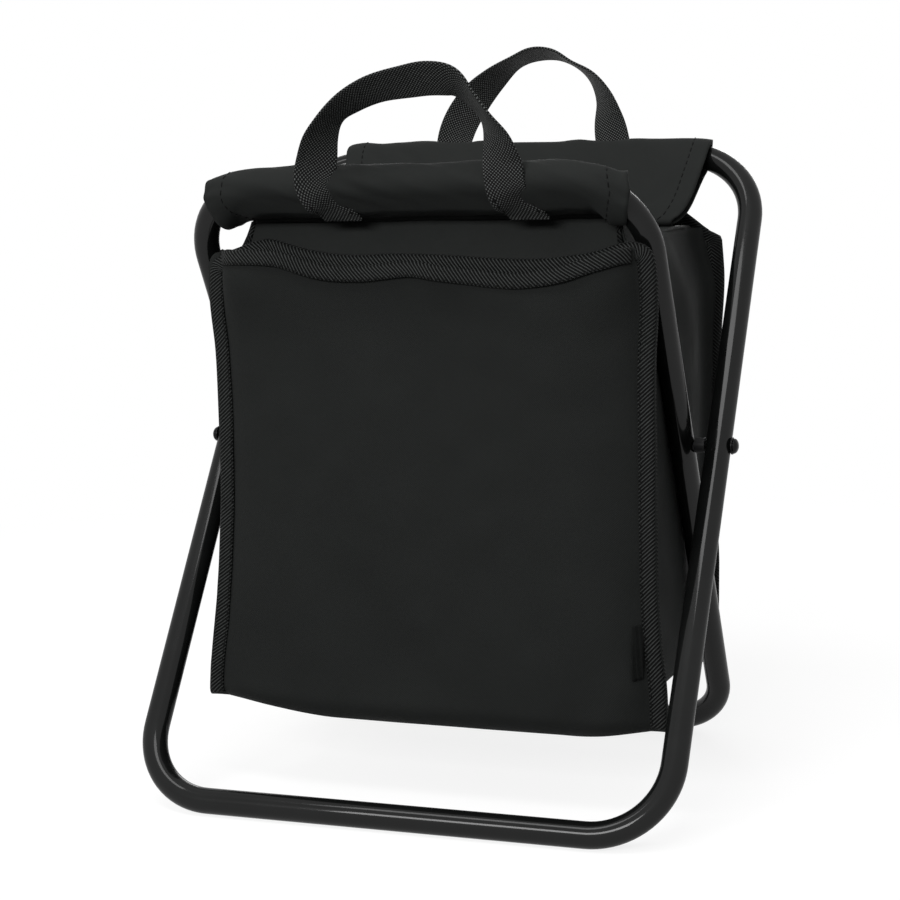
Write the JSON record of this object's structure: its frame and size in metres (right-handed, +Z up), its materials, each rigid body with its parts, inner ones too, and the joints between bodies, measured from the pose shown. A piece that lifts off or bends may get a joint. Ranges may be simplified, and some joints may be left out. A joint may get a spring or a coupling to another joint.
{
  "type": "folding cooler stool",
  "caption": "Folding stool of crossed, rounded steel tube loops with a soft insulated cooler bag hung between the top bars, a flat front pocket and webbing carry handles.",
  "frame": {"origin": "on the floor, under the middle of the whole stool's box", "axes": "+Z up, +X to the right as seen from the pocket side, the pocket faces -Y"},
  "size_m": [0.3622, 0.309, 0.4723],
  "materials": {
    "tube_gloss_black": "gloss powder coat on bent round steel tube",
    "plug_steel": "bare steel plug inside the joint of each top bar",
    "spacer_plastic": "black nylon bush between the two tubes",
    "rivet_black": "black coated steel rivet and washers",
    "foam_white": "closed-cell insulating foam sheet",
    "liner_silver": "silver-grey welded film liner",
    "zip_metal": "black coated die-cast slider and pull",
    "zip_tape": "woven zip tape and nylon coil",
    "binding_black": "ribbed woven binding tape",
    "webbing_black": "dense woven polyester webbing",
    "cloth_black": "plain-weave coated polyester, slight sheen"
  },
  "bodies": {
    "bag": {"bag_front_panel": "cloth_black", "front_panel_binding": "binding_black", "pocket_panel": "cloth_black", "pocket_mouth_binding": "binding_black", "side_tag": "webbing_black", "bag_rear_panel": "cloth_black", "rear_panel_binding": "binding_black", "bag_side_gusset_left": "cloth_black", "bag_side_gusset_right": "cloth_black", "bag_bottom_panel": "cloth_black", "bottom_foam": "foam_white", "front_foam": "foam_white", "rear_foam": "foam_white", "side_foam_left": "foam_white", "side_foam_right": "foam_white", "inner_liner": "liner_silver", "top_front_panel": "cloth_black", "top_rear_panel": "cloth_black", "zip_tape_front": "zip_tape", "zip_tape_rear": "zip_tape", "zip_coil": "zip_tape", "pivot_rivet_left": "rivet_black", "pivot_spacer_left": "spacer_plastic", "pivot_head_washer_left": "rivet_black", "pivot_tail_washer_left": "rivet_black", "pivot_rivet_right": "rivet_black", "pivot_spacer_right": "spacer_plastic", "pivot_head_washer_right": "rivet_black", "pivot_tail_washer_right": "rivet_black"},
    "inner_frame": {"inner_frame_tube": "tube_gloss_black", "inner_frame_joint_plug": "plug_steel", "front_sleeve": "cloth_black"},
    "outer_frame": {"outer_frame_tube": "tube_gloss_black", "outer_frame_joint_plug": "plug_steel", "rear_sleeve": "cloth_black"},
    "front_handle": {"front_handle": "webbing_black"},
    "rear_handle": {"rear_handle": "webbing_black"},
    "zip_slider": {"zip_slider": "zip_metal"},
    "zip_pull": {"zip_pull": "zip_metal"}
  },
  "joints": [
    {"name": "inner_fold", "type": "hinge", "parent": "bag", "child": "inner_frame", "pos_m": [0, 0.00222, 0.2165], "axis": [-1, 0, 0], "range_deg": [0, 20]},
    {"name": "outer_fold", "type": "hinge", "parent": "bag", "child": "outer_frame", "pos_m": [0, 0.00222, 0.2165], "axis": [1, 0, 0], "range_deg": [0, 24]},
    {"name": "front_handle_swing", "type": "hinge", "parent": "inner_frame", "child": "front_handle", "pos_m": [0.013, -0.08585, 0.3657], "axis": [1, 0, 0], "range_deg": [0, 95]},
    {"name": "rear_handle_swing", "type": "hinge", "parent": "outer_frame", "child": "rear_handle", "pos_m": [0.005, 0.11946, 0.36717], "axis": [-1, 0, 0], "range_deg": [0, 95]},
    {"name": "zip_slide", "type": "slide", "parent": "bag", "child": "zip_slider", "axis": [1, 0, 0], "range_m": [-0.185, 0]},
    {"name": "zip_pull_swing", "type": "hinge", "parent": "zip_slider", "child": "zip_pull", "pos_m": [0.0945, 0.01226, 0.35328], "axis": [0, -1, 0], "range_deg": [0, 150]}
  ],
  "couplings": [
    {"joint": "outer_fold", "follows": "inner_fold", "ratio": 1.2}
  ]
}
